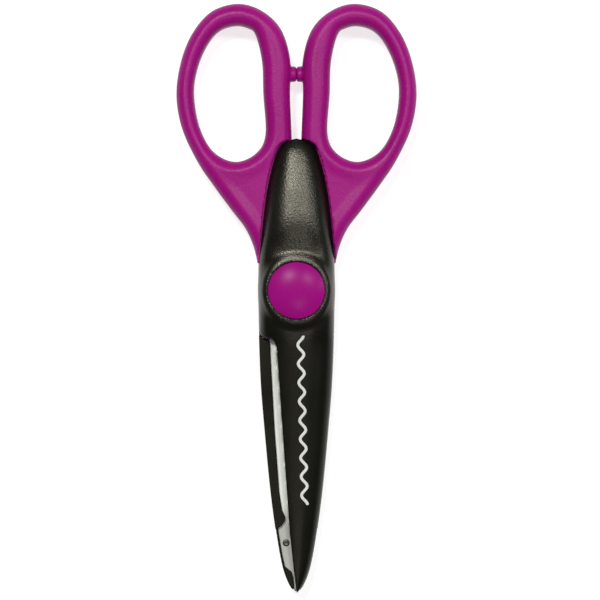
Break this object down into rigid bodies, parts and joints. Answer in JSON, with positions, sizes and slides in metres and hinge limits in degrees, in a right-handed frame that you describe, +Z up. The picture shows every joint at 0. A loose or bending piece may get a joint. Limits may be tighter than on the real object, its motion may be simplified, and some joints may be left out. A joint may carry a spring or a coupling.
{
  "type": "decorative edge scissors",
  "caption": "Craft scissors with corrugated blades that cut a wavy edge, covered blade carriers, a capped pivot and closed finger loops.",
  "frame": {"origin": "on the pivot axis, on the flat middle of the back cap, which the closed scissors lie on", "axes": "+Z up out of the front cover along the pivot, +Y towards the finger loops, +X to the right"},
  "size_m": [0.0672, 0.1646, 0.016],
  "materials": {
    "purple_plastic": "satin, fine texture",
    "cap_plastic": "smooth",
    "black_plastic": "satin, fine grain",
    "blade_steel": "ground stainless",
    "dark_rivet": "blackened",
    "plated_steel": "zinc plated",
    "spring_steel": "oil tempered",
    "white_paint": "printed",
    "white_nylon": "waxy"
  },
  "bodies": {
    "back_half": {"back_handle": "purple_plastic", "back_cover": "black_plastic", "back_blade": "blade_steel", "back_blade_rivets": "dark_rivet", "back_cap": "cap_plastic", "pivot_bolt": "plated_steel", "pivot_nut": "plated_steel", "spring_washer": "spring_steel", "flat_washer": "plated_steel", "friction_disc": "white_nylon"},
    "front_half": {"front_handle": "purple_plastic", "front_cover": "black_plastic", "front_blade": "blade_steel", "front_blade_rivets": "dark_rivet", "front_cap": "cap_plastic", "pattern_line": "white_paint"}
  },
  "joints": [
    {"name": "blade_pivot", "type": "hinge", "parent": "back_half", "child": "front_half", "pos_m": [0, 0, 0.008], "axis": [0, 0, 1], "range_deg": [0, 55]}
  ]
}
